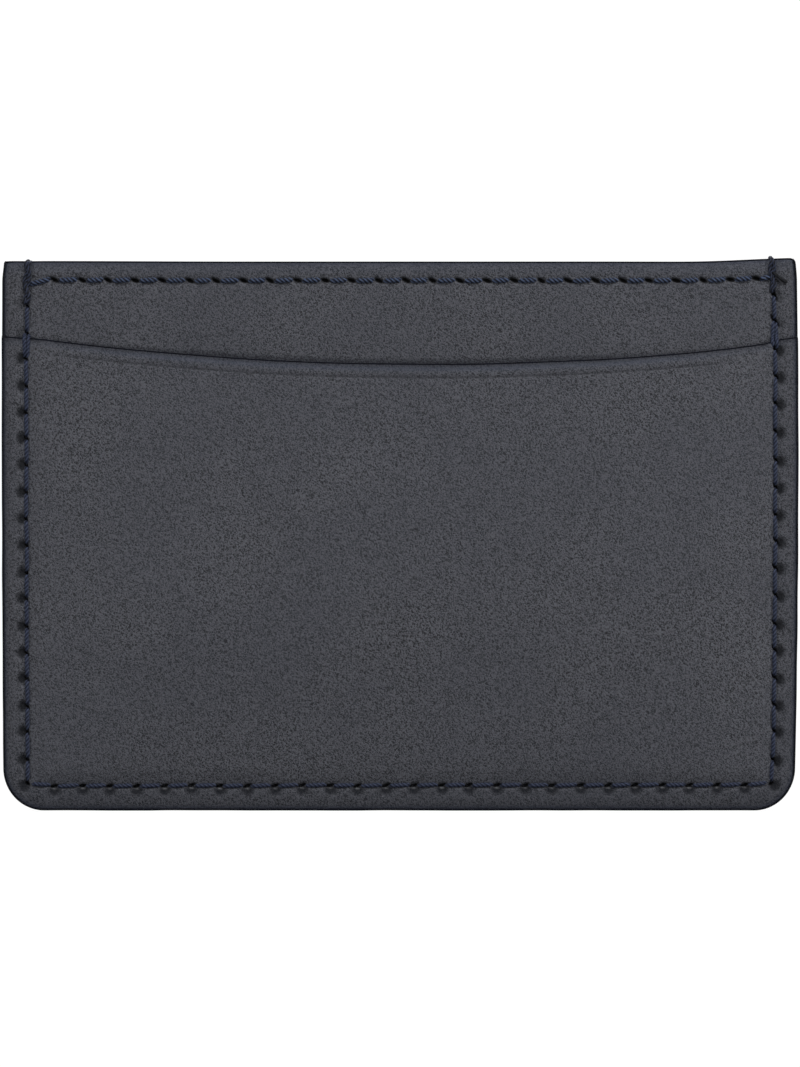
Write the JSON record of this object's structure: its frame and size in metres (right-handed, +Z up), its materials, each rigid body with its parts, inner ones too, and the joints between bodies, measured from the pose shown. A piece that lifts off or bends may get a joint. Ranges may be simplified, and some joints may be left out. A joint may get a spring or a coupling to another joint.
{
  "type": "card holder",
  "caption": "Slim flat leather card holder with a curved outer pocket on each face and an open pocket in the middle, stitched round the sides and bottom.",
  "frame": {"origin": "under the middle of the bottom edge that the holder stands on", "axes": "+X along the width, to the right as seen from the front; the front faces -Y; +Z up to the open top edge"},
  "size_m": [0.1, 0.0074, 0.07],
  "materials": {
    "leather": "smooth matte dark navy calf with a fine grain",
    "lining": "thin matte dark navy lining leather",
    "edge_paint": "satin near-black edge paint",
    "thread": "twisted navy polyester sewing thread"
  },
  "bodies": {
    "root": {"front_pocket": "leather", "front_panel": "leather", "front_lining": "lining", "front_mouth_edge_paint": "edge_paint", "front_top_edge_paint": "edge_paint", "front_top_needle_thread": "thread", "front_top_bobbin_thread": "thread", "seam_needle_thread": "thread", "back_pocket": "leather", "back_panel": "leather", "back_lining": "lining", "back_mouth_edge_paint": "edge_paint", "back_top_edge_paint": "edge_paint", "back_top_needle_thread": "thread", "back_top_bobbin_thread": "thread", "seam_bobbin_thread": "thread", "perimeter_edge_paint": "edge_paint", "left_corner_wrap": "thread", "right_corner_wrap": "thread"}
  },
  "joints": []
}
